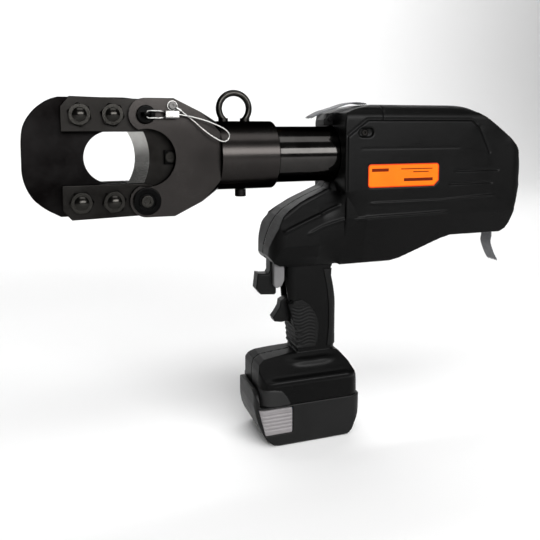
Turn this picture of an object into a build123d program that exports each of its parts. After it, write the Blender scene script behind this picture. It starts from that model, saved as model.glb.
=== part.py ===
from build123d import *
import os
from math import sin, cos, pi, radians, sqrt, atan2

os.makedirs("parts", exist_ok=True)

# ---------------------------------------------------------------- dimensions
ZA = 330.0          # height of the hydraulic axis above the battery base
OPEN_R = 27.5       # radius of the cutting opening in the fixed blade
OPEN_X = -213.0     # centre of that radius
BAR_OUT = 62.6      # outer edge of the guide bars from the axis
BAR_IN = 26.8       # inner edge of the guide bars
PIN_X = -179.7      # both head pins
PIN_Z = 44.4
PIN_R = 8.0
LUG_R = 17.0
THROAT_R = 30.0
BOLT_X = (-244.0, -212.0)
BOLT_Z = 44.3
BARREL_R = 38.0
TUBE_R = 32.0
BORE_R = 25.0
ROD_R = 13.0
STROKE = 57.0
HOUSE_W = 44.0      # half width of the main housing
CHIN_W = 35.0
GRIP_W = 17.0
FOOT_W = 38.0
WALL = 3.0
BATT_H = 47.4

C = Align.CENTER
MN = Align.MIN


def save(shape, name):
    export_step(shape, f"parts/{name}.step")


def xcyl(x0, x1, r, y=0.0, z=ZA):
    return Plane(origin=(x0, y, z), x_dir=(0, 1, 0), z_dir=(1, 0, 0)) * Cylinder(r, x1 - x0, align=(C, C, MN))


def ycyl(y0, y1, r, x, z):
    return Plane(origin=(x, y0, z), x_dir=(1, 0, 0), z_dir=(0, 1, 0)) * Cylinder(r, y1 - y0, align=(C, C, MN))


def zcyl(z0, z1, r, x, y=0.0):
    return Pos(x, y, z0) * Cylinder(r, z1 - z0, align=(C, C, MN))


def box(x0, x1, y0, y1, z0, z1):
    return Pos((x0 + x1) / 2, (y0 + y1) / 2, (z0 + z1) / 2) * Box(x1 - x0, y1 - y0, z1 - z0)


def side(pts, y0, y1, rounds=None):
    """Profile in X,Z drawn out from y0 to y1; rounds = {index: radius}."""
    pl = Plane(origin=(0, y1, 0), x_dir=(1, 0, 0), z_dir=(0, -1, 0))
    sk = make_face(Polyline(*[(p[0], p[1]) for p in pts], close=True))
    if rounds:
        for i, r in rounds.items():
            v = min(sk.vertices(), key=lambda q: (q.X - pts[i][0]) ** 2 + (q.Y - pts[i][1]) ** 2)
            sk = fillet(v, r)
    return extrude(pl * sk, amount=y1 - y0)


def front(pts, x0, x1):
    """Profile in Y,Z drawn out from x0 to x1."""
    pl = Plane(origin=(x0, 0, 0), x_dir=(0, 1, 0), z_dir=(1, 0, 0))
    return extrude(pl * make_face(Polyline(*pts, close=True)), amount=x1 - x0)


def rrect_plan(x0, x1, w, r, z0, z1):
    """Rounded rectangle in X,Y drawn up from z0 to z1."""
    sk = Pos((x0 + x1) / 2, 0) * RectangleRounded(x1 - x0, 2 * w, r)
    return Pos(0, 0, z0) * extrude(sk, amount=z1 - z0)


def rrect_front(w, z0, z1, r, x0, x1):
    """Rounded rectangle in Y,Z drawn out from x0 to x1."""
    pl = Plane(origin=(x0, 0, (z0 + z1) / 2), x_dir=(0, 1, 0), z_dir=(1, 0, 0))
    return extrude(pl * RectangleRounded(2 * w, z1 - z0, r), amount=x1 - x0)


def hexnut(y0, y1, af, x, z, rot=0):
    pl = Plane(origin=(x, y0, z), x_dir=(1, 0, 0), z_dir=(0, 1, 0))
    return extrude(pl * RegularPolygon(af / 2, 6, major_radius=False, rotation=rot), amount=y1 - y0)


def one(s):
    """Largest solid of a result."""
    so = s.solids()
    return max(so, key=lambda q: q.volume) if len(so) > 1 else so[0]


def soft_edges(s, sel, r):
    """Round the chosen edges, or bevel them a little less if the round does not fit."""
    for fn, k in ((fillet, 1.0), (fillet, 0.5), (chamfer, 0.4)):
        try:
            q = fn(sel, r * k)
            if q.is_valid if isinstance(q.is_valid, bool) else q.is_valid():
                return q
        except Exception:
            continue
    return s


# ================================================================ HEAD
# fixed blade: C-shaped plate
nose = [(-199, ZA + BAR_OUT), (-262.5, ZA + BAR_OUT), (-272, ZA + 58.4), (-281.3, ZA + 53), (-290.6, ZA + 44),
        (-298, ZA + 30), (-300.5, ZA + 18), (-300.5, ZA - 18), (-296.5, ZA - 29), (-289.5, ZA - 41),
        (-280.3, ZA - 50.3), (-270, ZA - 57), (-262.5, ZA - BAR_OUT), (-199, ZA - BAR_OUT),
        (-199, ZA - 27.3), (OPEN_X, ZA - 27.5), (OPEN_X, ZA + 27.5), (-199, ZA + 27.3)]
fixed = side(nose, -4, 9)
fixed -= ycyl(-5, 10, OPEN_R, OPEN_X, ZA)
# ground bevel behind the cutting edge
bev = Plane(origin=(OPEN_X, 1.0, ZA), x_dir=(1, 0, 0), z_dir=(0, 1, 0)) * Cone(OPEN_R, OPEN_R + 5.5, 8.0, align=(C, C, MN))
fixed -= bev & box(-260, OPEN_X, 0, 12, ZA - 60, ZA + 60)
# light bevel round the outside of the plate, both faces
for yy in (-4, 9):
    es = [e for e in fixed.edges() if abs(e.center().Y - yy) < 0.01 and e.center().X < -262.6]
    fixed = soft_edges(fixed, es, 1.6)
holes = Compound(children=[ycyl(-40, 40, 7.05, bx, ZA + s * BOLT_Z) for bx in BOLT_X for s in (1, -1)])
for bx in BOLT_X:
    for s in (1, -1):
        fixed -= ycyl(-40, 40, 7.0, bx, ZA + s * BOLT_Z)


def bar(s, y0, y1, step_to=None):
    """One guide bar; s=+1 above the opening, -1 below."""
    def q(x, dz):
        return (x, ZA + s * dz)
    pts = [q(-262.5, BAR_IN + 1), q(-262.5, 52.5), q(-253.5, BAR_OUT), q(PIN_X, BAR_OUT - 2.2), q(PIN_X, BAR_IN)]
    pts += [q(-261.5, BAR_IN)]
    b = side(pts, y0, y1) + ycyl(y0, y1, PIN_Z - BAR_IN - 1.2, PIN_X, ZA + s * PIN_Z)
    if step_to is not None:
        b += side([q(-198.7, BAR_OUT - 0.3), q(PIN_X, BAR_OUT - 2.2), q(PIN_X, BAR_IN), q(-198.7, BAR_IN)], step_to, y1)
        b += ycyl(step_to, y1, PIN_Z - BAR_IN - 1.2, PIN_X, ZA + s * PIN_Z)
    b -= ycyl(-50, 50, PIN_R, PIN_X, ZA + s * PIN_Z) if s < 0 else ycyl(-50, 50, PIN_R + 0.05, PIN_X, ZA + s * PIN_Z)
    for bx in BOLT_X:
        b -= ycyl(-50, 50, 7.0, bx, ZA + s * BOLT_Z)
    return b


bars = {}
for nm, s in (("top", 1), ("bottom", -1)):
    f = bar(s, -20, -4)
    lo, hi = sorted((ZA + s * (BAR_IN - 1), ZA + s * 33.4))
    f -= box(-300, -150, -14.3, -3, lo, hi)          # groove that carries the moving blade
    # bevels on the near face: end and inner lip
    es = [e for e in f.edges() if abs(e.center().Y + 20) < 0.01 and e.center().X < -200 and e.geom_type == GeomType.LINE]
    f = soft_edges(f, es, 2.2)
    bars["front_bar_" + nm] = f
    r = bar(s, 9, 20, step_to=-4)
    es = [e for e in r.edges() if abs(e.center().Y - 20) < 0.01 and e.center().X < -200 and e.geom_type == GeomType.LINE]
    r = soft_edges(r, es, 2.0)
    bars["rear_bar_" + nm] = r
for k, v in bars.items():
    save(one(v), k)
save(one(fixed), "fixed_blade")

# bolts with hex heads on the far side, nuts and domed ends on the near side
bolts, nuts = [], []
for bx in BOLT_X:
    for s in (1, -1):
        z = ZA + s * BOLT_Z
        b = ycyl(-29.5, 20, 7.0, bx, z) + hexnut(20, 28.5, 21, bx, z, 30)
        b = b & (ycyl(-31, 40, 40, bx, z))
        dome = Pos(bx, -22.2, z) * Sphere(10.3)
        b = (b & box(bx - 20, bx + 20, -26, 40, z - 20, z + 20)) + (ycyl(-33, -26, 7.0, bx, z) & dome)
        b = soft_edges(b, [e for e in b.edges() if abs(e.center().Y - 28.5) < 0.01], 0.9)
        bolts.append(one(b))
        n = hexnut(-28.4, -20, 21, bx, z, 12 * s + (8 if bx < -230 else 0))
        cone = Plane(origin=(bx, -28.4, z), x_dir=(1, 0, 0), z_dir=(0, 1, 0)) * Cone(10.3, 18.7, 8.4, align=(C, C, MN))
        n = (n & cone) - ycyl(-35, -15, 7.0, bx, z)
        nuts.append(one(n))
save(Compound(children=bolts), "head_bolts")
save(Compound(children=nuts), "head_nuts")

# yoke and barrel in one forging
yk = side([(PIN_X, ZA + 61.4), (-151, ZA + 61.4), (-104, ZA + 38.2), (-101, ZA + 36.4), (-92, ZA + 35), (-92, ZA - 35),
           (-101, ZA - 36.4), (-104, ZA - 38.2), (-151, ZA - 61.4), (PIN_X, ZA - 61.4)], -29, 29)
for s in (1, -1):
    yk += ycyl(-29, 29, LUG_R, PIN_X, ZA + s * PIN_Z)
env = Plane(origin=(-232, 0, ZA), x_dir=(0, 1, 0), z_dir=(1, 0, 0)) * Cone(38 + 131 * 0.82, 38, 131, align=(C, C, MN))
yk = yk & (env + xcyl(-101.2, -80, 37.4))
es = [e for e in yk.edges() if abs(abs(e.center().Y) - 29) < 0.01 and abs(e.center().Z - ZA) > 36 and e.center().X < -110]
yk = soft_edges(yk, es, 1.6)
yk -= ycyl(-30, 30, THROAT_R, -179, ZA)
yk -= box(-240, -161.5, -20.3, 20.3, ZA - 80, ZA + 80)       # slot for the guide bars
yk -= box(-240, -134, -20.3, 14.5, ZA - 33.6, ZA + 33.6)     # room for the moving blade
barrel = xcyl(-101, -35.8, BARREL_R)
barrel = soft_edges(barrel, [e for e in barrel.edges() if e.geom_type == GeomType.CIRCLE and e.center().X > -50], 1.6)
yk += barrel
yk -= xcyl(-150, -90, ROD_R + 0.05)
yk -= xcyl(-93, -30, TUBE_R + 0.05)
yk -= xcyl(-60, -57, 33.5)                                    # groove for the swivel ring
yk -= ycyl(-50, 50, PIN_R, PIN_X, ZA - PIN_Z)
yk -= ycyl(-50, 50, PIN_R + 0.05, PIN_X, ZA + PIN_Z)
yk -= ycyl(-31, -24, 2.5, -152.6, ZA + 53.5)                  # lanyard screw
yk -= zcyl(ZA - 40, ZA - 30, 4.0, -71.5)                      # stop screw
EYE_X, EYE_DZ = -78.6, 51.8
eye = Plane(origin=(EYE_X, 0, ZA + EYE_DZ), x_dir=(1, 0, 0), z_dir=(0, 1, 0)) * Torus(17.2, 3.5)
eye = eye & box(-110, -50, -6, 6, ZA + 40.0, ZA + 90)
for dx in (-12.4, 12.4):
    eye += zcyl(ZA + 36.9, ZA + 41.2, 5.4, EYE_X + dx) + zcyl(ZA + 33.4, ZA + 38, 3.4, EYE_X + dx)
    yk -= zcyl(ZA + 36.9, ZA + 45, 5.4, EYE_X + dx)
    yk -= zcyl(ZA + 33.4, ZA + 38, 3.4, EYE_X + dx)
save(one(yk), "yoke_barrel")
save(one(eye), "lifting_eye")

# hinge pin (lower), with a turned head and a retaining clip
hp = ycyl(-29, 31.5, PIN_R, PIN_X, ZA - PIN_Z) + ycyl(-33, -29, 14.3, PIN_X, ZA - PIN_Z)
hp = soft_edges(hp, [e for e in hp.edges() if abs(e.center().Y + 33) < 0.01], 1.2)
hp -= ycyl(-34, -31.8, 8.6, PIN_X, ZA - PIN_Z) - ycyl(-34, -31.8, 6.2, PIN_X, ZA - PIN_Z)
hp += ycyl(-34.2, -31.8, 6.2, PIN_X, ZA - PIN_Z)
hp -= ycyl(-35, -33.2, 3.0, PIN_X, ZA - PIN_Z)
hp += ycyl(29, 31.5, 10.2, PIN_X, ZA - PIN_Z)
save(one(hp), "hinge_pin")

# latch pin (upper) with an end tab drilled for the lanyard
lp = ycyl(-29.5, 30, PIN_R, PIN_X, ZA + PIN_Z) + ycyl(-33.5, -29.3, 9.6, PIN_X, ZA + PIN_Z)
lp = soft_edges(lp, [e for e in lp.edges() if abs(e.center().Y + 33.5) < 0.01 or abs(e.center().Y - 30) < 0.01], 1.4)
tab = box(PIN_X - 5, PIN_X + 5, -41.5, -33.4, ZA + PIN_Z - 2, ZA + PIN_Z + 2)
tab = soft_edges(tab, [e for e in tab.edges() if abs(e.center().Y + 41.5) < 0.01 and e.length < 5], 3.5)
lp += tab
lp -= zcyl(ZA + PIN_Z - 4, ZA + PIN_Z + 4, 1.6, PIN_X, -38.2)
save(one(lp), "latch_pin")

# wire eye through the tab, closed by the ferrule
LY = -38.2
lz = ZA + PIN_Z
eye_w = FilletPolyline((-161.0, LY, lz + 2.6), (-166.5, LY, lz + 3.6), (PIN_X, LY, lz + 3.6), (PIN_X, LY, lz - 3.6),
                       (-166.5, LY, lz - 3.6), (-161.0, LY, lz - 2.6), radius=2.6)
eyew = sweep(Plane(origin=eye_w @ 0, z_dir=eye_w % 0) * Circle(0.8), path=eye_w)
fer = box(-161.0, -147.0, LY - 2.3, LY + 2.3, lz - 4.2, lz + 4.2)
fer = soft_edges(fer, [e for e in fer.edges() if e.length > 13], 2.0)
eyew = eyew - fer
save(one(eyew), "lanyard_eye")
save(one(fer), "lanyard_ferrule")
# lanyard wire: route points, straight runs joined by arcs
L_PTS = [(-147.0, -38.2, 374.4), (-128.0, -38.6, 371.5), (-103.0, -40.2, 362.0), (-94.6, -40.6, 355.4), (-95.2, -40.7, 348.8),
         (-101.0, -40.6, 345.6), (-110.8, -39.6, 350.6), (-121.0, -38.0, 358.0), (-133.0, -34.6, 369.5), (-144.0, -32.2, 378.3)]


def arc_radii(pts):
    out = []
    for a, b, c in zip(pts, pts[1:], pts[2:]):
        u = Vector(*b) - Vector(*a)
        v = Vector(*c) - Vector(*b)
        t = radians(u.get_angle(v))
        out.append(0.45 * min(u.length, v.length) / max(1e-6, sin(t / 2) / cos(t / 2)))
    return out


L_R = arc_radii(L_PTS)
print("lanyard radii", [round(r, 1) for r in L_R])
lan = FilletPolyline(*L_PTS, radius=L_R)
lanw = sweep(Plane(origin=lan @ 0, z_dir=lan % 0) * Circle(0.8), path=lan)
print("lanyard length", round(lan.length, 1), "volume ratio", round(lanw.volume / (lan.length * pi * 0.64), 3))
lanw = lanw - fer
# crimped ring terminal and its screw
d = (Vector(-152.6, 0, ZA + 53.5) - Vector(-144.0, 0, 378.3))
d = d / d.length
lug = ycyl(-31.6, -29.8, 5.2, -152.6, ZA + 53.5)
pl = Plane(origin=(-144.0, -32.2, 378.3), z_dir=(d.X, 0.0, d.Z), x_dir=(0, 1, 0))
lug += pl * Cylinder(1.9, 6.5, align=(C, C, MN))
lug -= ycyl(-40, -20, 2.6, -152.6, ZA + 53.5)
lug -= box(-170, -130, -33, -24, ZA + 30, ZA + 70) & ycyl(-29.8, -20, 9, -152.6, ZA + 53.5)
lsc = ycyl(-31.6, -24, 2.5, -152.6, ZA + 53.5) + ycyl(-34.2, -31.6, 4.4, -152.6, ZA + 53.5)
lsc += ycyl(-29.8, -29, 4.0, -152.6, ZA + 53.5)
lug = lug - lsc
lanw = lanw - lug
save(one(lug), "lanyard_terminal")
save(one(lanw), "lanyard_wire")
lsc = soft_edges(lsc, [e for e in lsc.edges() if abs(e.center().Y + 34.2) < 0.01], 1.1)
lsc -= hexnut(-35, -32.6, 3, -152.6, ZA + 53.5)
save(one(lsc), "lanyard_screw")

# stop screw under the barrel
ss = zcyl(ZA - 46.5, ZA - 38.4, 6.2, -71.5) + zcyl(ZA - 40, ZA - 29.8, 4.0, -71.5)
ss = soft_edges(ss, [e for e in ss.edges() if abs(e.center().Z - ZA + 46.5) < 0.01], 1.0)
ss -= Pos(-71.5, 0, ZA - 47) * extrude(RegularPolygon(3, 6), amount=4.0)
save(one(ss), "stop_screw")
sr = xcyl(-60, -57, 33.5) - xcyl(-61, -56, 30.7)
sr -= box(-62, -55, -3, 3, ZA + 20, ZA + 40)
save(one(sr), "swivel_ring")

# ================================================================ RAM AND BLADE
EDGE_R, EDGE_X = 50.0, -238.7
bl = side([(-205, ZA + 33), (-152, ZA + 33), (-137, ZA + 21), (-137, ZA - 21), (-152, ZA - 33), (-205, ZA - 33)], -14, -4.05)
bl -= ycyl(-15, 0, EDGE_R, EDGE_X, ZA)
cone = Plane(origin=(EDGE_X, -14, ZA), x_dir=(1, 0, 0), z_dir=(0, 1, 0)) * Cone(64.0, EDGE_R, 9.95, align=(C, C, MN))
bl -= cone
bl -= ycyl(-20, 0, 4.0, -153, ZA)
save(one(bl), "moving_blade")
blk = box(-159.6, -146.4, -19.0, -14, ZA - 7.3, ZA + 7.3) - ycyl(-30, 0, 4.0, -153, ZA)
blk = soft_edges(blk, [e for e in blk.edges() if abs(e.center().Y + 19) < 0.01 and e.geom_type == GeomType.LINE], 0.8)
save(one(blk), "blade_clamp")
bs = ycyl(-19.0, 6, 4.0, -153, ZA) + (ycyl(-19.3, -19.0, 5.4, -153, ZA))
bs -= hexnut(-20, -16.5, 4, -153, ZA)
save(one(bs), "blade_screw")
rod = xcyl(-163, 5, ROD_R) - box(-170, -134, -20, -4.05, ZA - 20, ZA + 20)
rod -= ycyl(-20, 6, 4.0, -153, ZA)
rod = soft_edges(rod, [e for e in rod.edges() if abs(e.center().X + 163) < 0.01 and e.geom_type == GeomType.CIRCLE], 1.2)
save(one(rod), "ram_rod")
pis = xcyl(5, 27, BORE_R - 0.05) - xcyl(13, 18, BORE_R + 1) + xcyl(13, 18, 21)
save(one(pis), "piston")
seal = xcyl(13, 18, BORE_R - 0.02) - xcyl(12, 19, 21)
save(one(seal), "piston_seal")
hx = Helix(pitch=12.6, height=79.4, radius=19.5, center=(-76.8, 0, ZA), direction=(1, 0, 0))
spr = sweep(Plane(origin=hx @ 0, z_dir=hx % 0) * Circle(2.0), path=hx, is_frenet=True)
print("ram spring x", spr.bounding_box().min.X, spr.bounding_box().max.X)
save(one(spr), "return_spring")

# ================================================================ CYLINDER
tube = xcyl(-92.7, 58, TUBE_R) - xcyl(-100, 60, BORE_R)
tube -= xcyl(-60.05, -56.95, 40) - xcyl(-62, -55, 30.5)
tube -= (xcyl(-76.0, -67.0, 40) - xcyl(-77, -66, 29.5)) - box(-80, -60, -5, 5, ZA + 20, ZA + 40)
save(one(tube), "cylinder_tube")
gl = xcyl(-92.7, -79, BORE_R) - xcyl(-100, -70, ROD_R + 0.05)
save(one(gl), "cylinder_gland")

# ================================================================ PUMP AND DRIVE
PMZ = ZA - 36.0      # motor axis
pb = xcyl(58, 104, 37) - xcyl(50, 58, 40)
pb += xcyl(46, 58, BORE_R)
pb -= xcyl(84, 120, 15.0)                       # eccentric chamber
pb -= xcyl(98, 104.5, 19)                       # bearing seat
for s in (1, -1):
    pb -= zcyl(ZA + min(s * 12, s * 34), ZA + max(s * 12, s * 34), 5.0, 91)
pb -= zcyl(ZA - 38, ZA - 20, 6.0, 70)
pb -= xcyl(30, 70, 3.0)
pb -= box(57, 105, -60, 60, ZA + 33, ZA + 60)
pb -= ycyl(-60, -18, 1.5, 62.5, 355) + ycyl(18, 60, 1.5, 62.5, 355)
save(one(pb), "pump_block")
plungers = [zcyl(ZA + 11.4, ZA + 30, 4.95, 91), zcyl(ZA - 30, ZA - 11.4, 4.95, 91)]
save(Compound(children=plungers), "pump_plungers")
brg = (xcyl(98, 104, 19) - xcyl(97, 105, 8))
save(one(brg), "shaft_bearing")
ecc = xcyl(86.5, 134, 7.95) - xcyl(86, 97.4, 9) + xcyl(86.5, 97.4, 9.0, 0, ZA + 1.8)
save(one(ecc), "eccentric_shaft")


def gear(zn, m, x0, x1, z, bore, phase):
    rp = m * zn / 2
    ra, rf = rp + 0.85 * m, rp - 1.2 * m
    pts = []
    p = 2 * pi / zn
    for i in range(zn):
        c = i * p + phase
        for r, h in ((rf, -0.34), (rp, -0.215), (ra, -0.11), (ra, 0.11), (rp, 0.215), (rf, 0.34)):
            pts.append((r * cos(c + h * p), r * sin(c + h * p)))
    pl = Plane(origin=(x0, 0, z), x_dir=(0, 1, 0), z_dir=(1, 0, 0))
    return extrude(pl * (make_face(Polyline(*pts, close=True)) - Circle(bore)), amount=x1 - x0)


# gear on the eccentric shaft (36 teeth) and motor pinion (12 teeth), module 1.5
save(one(gear(36, 1.5, 119, 131, ZA, 7.95, -pi / 2)), "drive_gear")
save(one(gear(12, 1.5, 119, 131, PMZ, 3.0, pi / 2 + pi / 12)), "motor_pinion")
gp = rrect_front(36, ZA - 68, ZA + 31, 8, 108, 114) - xcyl(100, 120, 10) - xcyl(100, 120, 5, 0, PMZ)
save(one(gp), "gear_plate")
mc = xcyl(136, 214, 24, 0, PMZ) - xcyl(139, 211, 21.5, 0, PMZ) - xcyl(130, 220, 4.5, 0, PMZ)
save(one(mc), "motor_can")
rot = xcyl(115.5, 217, 3.0, 0, PMZ) + xcyl(146, 204, 15.5, 0, PMZ)
save(one(rot), "motor_rotor")
stat = xcyl(146, 204, 21.5, 0, PMZ) - xcyl(145, 205, 16.2, 0, PMZ)
save(one(stat), "motor_stator")
res = rrect_front(27, ZA + 2, ZA + 43, 14, 140, 224)
res = soft_edges(res, [e for e in res.edges() if abs(e.center().X - 140) < 0.01 or abs(e.center().X - 224) < 0.01], 6)
save(one(res), "oil_reservoir")
rv = zcyl(ZA - 62, ZA - 20.2, 5.95, 70)
save(one(rv), "release_valve")
pcb = box(112, 180, -22, 22, 240.0, 241.6)
for q in (box(118, 136, -18, 0, 241.6, 252), box(142, 150, -18, 18, 241.6, 246), box(156, 164, -8, 8, 241.6, 250),
          box(168, 177, 4, 18, 241.6, 248)):
    pcb += q
save(one(pcb), "control_board")

# ================================================================ HOUSING (two halves)
MAIN = [(38, 298), (38, 366), (40, 377.6), (52, 382), (77, 387), (194, 387), (202, 385.6), (211, 382.0), (227, 373.6), (243, 363.2),
        (254, 355.8), (262, 349.6), (270.2, 341.8), (277.0, 334.0), (282.8, 325.4), (286.4, 318.0), (288.4, 309.0), (282.6, 295.5), (277.6, 281), (271.8, 262), (268.8, 249),
        (266.4, 241.5), (262.4, 235.0), (255, 230.5), (183, 230.5), (170, 227), (117, 205.5), (104, 202.6), (38, 202.6)]
CHIN = [(60, 202.6), (30, 202.6), (-20, 203.2), (-32, 204.2), (-39.5, 208.5), (-44.8, 216), (-44.2, 226), (-42.0, 234.4),
        (-38.6, 243.6), (-34.2, 252.4), (-29.2, 259.8), (-20.6, 267.6), (-5.7, 276.2), (5.2, 281.4), (18.0, 286.6), (29.0, 291.0),
        (33.5, 298), (60, 298)]


def inset(pts, d):
    f = make_face(Polyline(*pts, close=True))
    return offset(f, amount=-d, kind=Kind.INTERSECTION)


def shell_body(t):
    """Outer body for t=0, inner cavity for t=WALL."""
    pl = Plane(origin=(0, HOUSE_W - t, 0), x_dir=(1, 0, 0), z_dir=(0, -1, 0))
    f = make_face(Polyline(*MAIN, close=True)) if t == 0 else inset(MAIN, t)
    m = extrude(pl * f, amount=2 * (HOUSE_W - t))
    m = m & rrect_front(HOUSE_W - t, 202.6 + t, 387 - t, 17 - t, 36, 292)
    m = m & rrect_plan(-22 + t, 289.2 - t, HOUSE_W - t, 24 - t, 200, 390)
    # narrow the lower edge of the main body toward the grip
    w = HOUSE_W - t
    m = m & front([(-w, 388), (-w, 258), (-w + 8, 228), (-w + 15, 202), (w - 15, 202), (w - 8, 228), (w, 258), (w, 388)], 30, 292)
    pc = Plane(origin=(0, CHIN_W - t, 0), x_dir=(1, 0, 0), z_dir=(0, -1, 0))
    fc = make_face(Polyline(*CHIN, close=True)) if t == 0 else inset(CHIN, t)
    c = extrude(pc * fc, amount=2 * (CHIN_W - t))
    c = c & rrect_plan(-44.8 + t, 120, CHIN_W - t, 20 - t, 200, 300)
    w = CHIN_W - t
    c = c & front([(-w, 300), (-w, 228), (-w + 6, 214), (-w + 14, 202), (w - 14, 202), (w - 6, 214), (w, 228), (w, 300)], -60, 80)
    # sloping shoulders along the upper edges
    a = atan2(0.38, 1.0)
    pa = Plane(origin=(5 + 1.0 * t * sin(a), 0, 276.6 - 1.3 * t), x_dir=(0, 1, 0), z_dir=(cos(a), 0, sin(a)))
    pa = pa.offset(-120)
    sh = [(-60, -260), (-60, -45), (-w, -15.2), (-22.5, 0), (-8, 17.6), (8, 17.6), (22.5, 0), (w, -15.2), (60, -45), (60, -260)]
    c = c & extrude(pa * make_face(Polyline(*sh, close=True)), amount=260)
    c -= xcyl(-60, 60, 33.2 + t)
    if t:
        c += front([(-24, 298), (-w + 1, 268), (-w + 1, 252), (-19, 208), (19, 208), (w - 1, 252), (w - 1, 268), (24, 298)], 43, 60)
    return m, c


GRIP = [(-21.5, 210), (-20.5, 180), (-17.5, 158), (-12.0, 134), (-9.2, 118), (-8.0, 96), (41, 96), (40.6, 119), (42.0, 130),
        (42.2, 141), (40.8, 155.7), (36.6, 173), (32.6, 187.6), (33, 195), (37.5, 202), (46, 210)]


def grip_body(t):
    pl = Plane(origin=(0, GRIP_W - t, 0), x_dir=(1, 0, 0), z_dir=(0, -1, 0))
    f = make_face(Polyline(*GRIP, close=True)) if t == 0 else inset(GRIP, t)
    g = extrude(pl * f, amount=2 * (GRIP_W - t))
    return g & rrect_plan(-22 + t, 42.4 - t, GRIP_W - t, 13 - t, 90, 212)


FOOT = [(-59, 48), (-59, 84), (-56.5, 92), (-50, 96.2), (-38, 97.6), (-12, 100), (30, 100.5), (43.5, 97), (52.5, 86),
        (59.5, 71), (62.5, 56), (63.0, 48)]


def foot_body(t):
    pl = Plane(origin=(0, FOOT_W - t, 0), x_dir=(1, 0, 0), z_dir=(0, -1, 0))
    f = make_face(Polyline(*FOOT, close=True)) if t == 0 else inset(FOOT, t)
    g = extrude(pl * f, amount=2 * (FOOT_W - t))
    w = FOOT_W - t
    z = 48 + t
    g = g & front([(-w, z), (-w, 72.5), (-w + 2.5, 77), (-w + 20, 98 - t), (-w + 24, 100.6 - t), (w - 24, 100.6 - t),
                   (w - 20, 98 - t), (w - 2.5, 77), (w, 72.5), (w, z)], -70, 70)
    return g & rrect_plan(-59 + t, 63 - t, w, 14 - t, 40, 110)


mo, co = shell_body(0)
mi, ci = shell_body(WALL)
outer = mo + co
inner = mi + ci
go, gi = grip_body(0), grip_body(2.6)
fo, fi = foot_body(0), foot_body(WALL)
outer = outer + go + fo
gi2 = gi & box(-60, 60, -30, 30, 103, 203)
throat_a = box(-16, 28, -11, 11, 196, 210)
throat_b = box(-2, 33, -11, 11, 92, 112)
hs = outer - inner - gi2 - fi - throat_a - throat_b
# raised side panels with their own edge
for s in (1, -1):
    y0, y1 = sorted((s * (HOUSE_W - 0.2), s * (HOUSE_W + 1.6)))
    p = side([(41, 278), (41, 352), (64.7, 369.5), (205, 369.5), (211, 364), (228, 329), (231, 292), (205, 277.5)], y0, y1,
             {0: 3, 1: 6, 2: 6, 3: 3, 4: 3, 5: 9, 6: 9, 7: 9})
    p = soft_edges(p, [e for e in p.edges() if abs(abs(e.center().Y) - HOUSE_W - 1.6) < 0.01], 1.2)
    hs += p
# screw recess, label bed, grooves (near and far alike)
for s in (1, -1):
    y0, y1 = sorted((s * (HOUSE_W - 1.4), s * (HOUSE_W + 3)))
    hs -= side([(53.5, 350), (53.5, 360.5), (72, 360.5), (72, 350)], y0, y1, {0: 5, 1: 5, 2: 5, 3: 5})
    y0, y1 = sorted((s * (HOUSE_W + 0.7), s * (HOUSE_W + 3)))
    hs -= side([(65.2, 291.8), (65.2, 319.8), (159.5, 319.8), (159.5, 298), (152, 291.8)], y0, y1, {0: 4, 1: 4, 2: 4})
    for zz, xa, xb in ((337, 57, 205), (284, 73, 205)):
        y0, y1 = sorted((s * (HOUSE_W + 0.6), s * (HOUSE_W + 3)))
        hs -= box(xa, xb, y0, y1, zz - 1.1, zz + 1.1)
# tube opening, trigger openings, battery terminal opening, split screws
hs -= xcyl(-60, 45, TUBE_R + 0.4)
hs -= box(-41, -28, -8.6, 8.6, 200, 222)
hs -= box(-30, -14, -9.2, 9.2, 160, 207)
hs -= box(-24, -3, -7.4, 7.4, 130, 167)
hs -= box(-75, 44, -20.4, 20.4, 44, 54.5)            # slot for the battery tongue
hs -= box(-75, 57, -24.4, 24.4, 51.0, 54.5)
SCREWS = [(244, 346), (262, 292), (204, 248), (98, 222), (-30, 232), (27, 181), (4, 104), (46, 62), (-46, 62)]
bosses = None
for i, (sx, sz) in enumerate(SCREWS):
    w = 42.0 if sx > 240 else (40.5 if sx > 150 else (33.4 if sx > 80 else (31.6 if sz > 210 else (15.6 if sz > 103 else 35))))
    hs += ycyl(-w, w, 4.2, sx, sz)
    hs -= ycyl(3, w + 14, 1.75, sx, sz)
    hs -= ycyl(-12, 3.1, 1.5, sx, sz)
    hs -= ycyl(w - 3.2, w + 14, 3.6, sx, sz)
for s in (1, -1):
    y0, y1 = sorted((s * 31.4, s * 42))
    hs += ycyl(y0, y1, 5.0, 62.5, 355)
    y0, y1 = sorted((s * 20.0, s * 50))
    hs -= ycyl(y0, y1, 1.5, 62.5, 355)
    y0, y1 = sorted((s * 39.5, s * 50))
    hs -= ycyl(y0, y1, 3.6, 62.5, 355)
hs -= ycyl(-24.5, 24.5, 2.0, -34.8, 214) + ycyl(-16, 16, 1.5, -15.5, 160)
left = hs & box(-80, 320, -80, 0, 20, 420)
right = hs & box(-80, 320, 0, 80, 20, 420)
print("shell solids", [(round(q.volume), [round(v) for v in q.center()]) for q in left.solids()])
save(one(left), "housing_left")
save(one(right), "housing_right")
scr = []
for sx, sz in SCREWS:
    w = 42.0 if sx > 240 else (40.5 if sx > 150 else (33.4 if sx > 80 else (31.6 if sz > 210 else (15.6 if sz > 103 else 35))))
    q = ycyl(-12, w - 3.2, 1.5, sx, sz) + ycyl(w - 3.2, w - 0.6, 3.3, sx, sz)
    q -= hexnut(w - 2.2, w + 1, 2.6, sx, sz)
    scr.append(one(q))
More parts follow.
